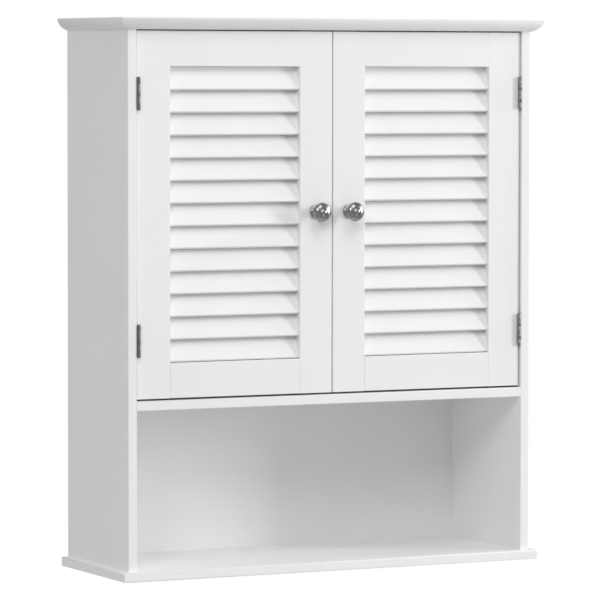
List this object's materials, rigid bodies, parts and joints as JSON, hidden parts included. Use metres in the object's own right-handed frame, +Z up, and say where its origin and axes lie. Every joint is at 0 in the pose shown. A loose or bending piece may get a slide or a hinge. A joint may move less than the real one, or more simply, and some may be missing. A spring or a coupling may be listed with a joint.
{
  "type": "hanging wall cabinet",
  "caption": "Hanging wall cabinet with louvred doors on butt hinges, round metal knobs, a moulded overhanging top board and an open compartment below the doors.",
  "frame": {"origin": "middle of the two hanging holes, in the wall plane at the cabinet's back", "axes": "+Z up, +X to the right as seen from the front, +Y into the wall, so the doors face -Y"},
  "size_m": [0.6, 0.2115, 0.703],
  "materials": {
    "painted_board": "smooth white satin paint on fibreboard",
    "painted_slat": "smooth white satin paint on fibreboard",
    "painted_back": "smooth white paint on thin hardboard",
    "dowel_wood": "bare beech",
    "knob_nickel": "satin nickel",
    "hinge_steel": "dull nickel-plated steel",
    "fitting_steel": "bright zinc plate",
    "screw_steel": "bright zinc plate",
    "catch_plastic": "white moulded plastic",
    "magnet": "dark ground magnet"
  },
  "bodies": {
    "cabinet": {"top_board": "painted_board", "base_board": "painted_board", "left_side": "painted_board", "right_side": "painted_board", "fixed_shelf": "painted_board", "back_panel": "painted_back", "hanging_rail": "painted_board", "adjustable_shelf": "painted_board", "shelf_pins": "fitting_steel", "carcass_dowels": "dowel_wood", "carcass_screws": "screw_steel", "catch_housings": "catch_plastic", "catch_magnets": "magnet", "cabinet_hinge_leaves": "hinge_steel", "hinge_pins": "hinge_steel", "cabinet_small_screws": "screw_steel"},
    "left_door": {"left_door_hinge_stile": "painted_board", "left_door_meeting_stile": "painted_board", "left_door_top_rail": "painted_board", "left_door_bottom_rail": "painted_board", "left_door_hinge_leaves": "hinge_steel", "left_door_knob": "knob_nickel", "left_door_knob_screw": "screw_steel", "left_door_strike_plate": "fitting_steel", "left_door_small_screws": "screw_steel", "left_slat_01": "painted_slat", "left_slat_02": "painted_slat", "left_slat_03": "painted_slat", "left_slat_04": "painted_slat", "left_slat_05": "painted_slat", "left_slat_06": "painted_slat", "left_slat_07": "painted_slat", "left_slat_08": "painted_slat", "left_slat_09": "painted_slat", "left_slat_10": "painted_slat", "left_slat_11": "painted_slat", "left_slat_12": "painted_slat", "left_slat_13": "painted_slat"},
    "right_door": {"right_door_hinge_stile": "painted_board", "right_door_meeting_stile": "painted_board", "right_door_top_rail": "painted_board", "right_door_bottom_rail": "painted_board", "right_door_hinge_leaves": "hinge_steel", "right_door_knob": "knob_nickel", "right_door_knob_screw": "screw_steel", "right_door_strike_plate": "fitting_steel", "right_door_small_screws": "screw_steel", "right_slat_01": "painted_slat", "right_slat_02": "painted_slat", "right_slat_03": "painted_slat", "right_slat_04": "painted_slat", "right_slat_05": "painted_slat", "right_slat_06": "painted_slat", "right_slat_07": "painted_slat", "right_slat_08": "painted_slat", "right_slat_09": "painted_slat", "right_slat_10": "painted_slat", "right_slat_11": "painted_slat", "right_slat_12": "painted_slat", "right_slat_13": "painted_slat"}
  },
  "joints": [
    {"name": "left_door_hinge", "type": "hinge", "parent": "cabinet", "child": "left_door", "pos_m": [-0.27135, -0.18965, -0.20125], "axis": [0, 0, -1], "range_deg": [0, 180]},
    {"name": "right_door_hinge", "type": "hinge", "parent": "cabinet", "child": "right_door", "pos_m": [0.27135, -0.18965, -0.20125], "axis": [0, 0, 1], "range_deg": [0, 180]}
  ]
}
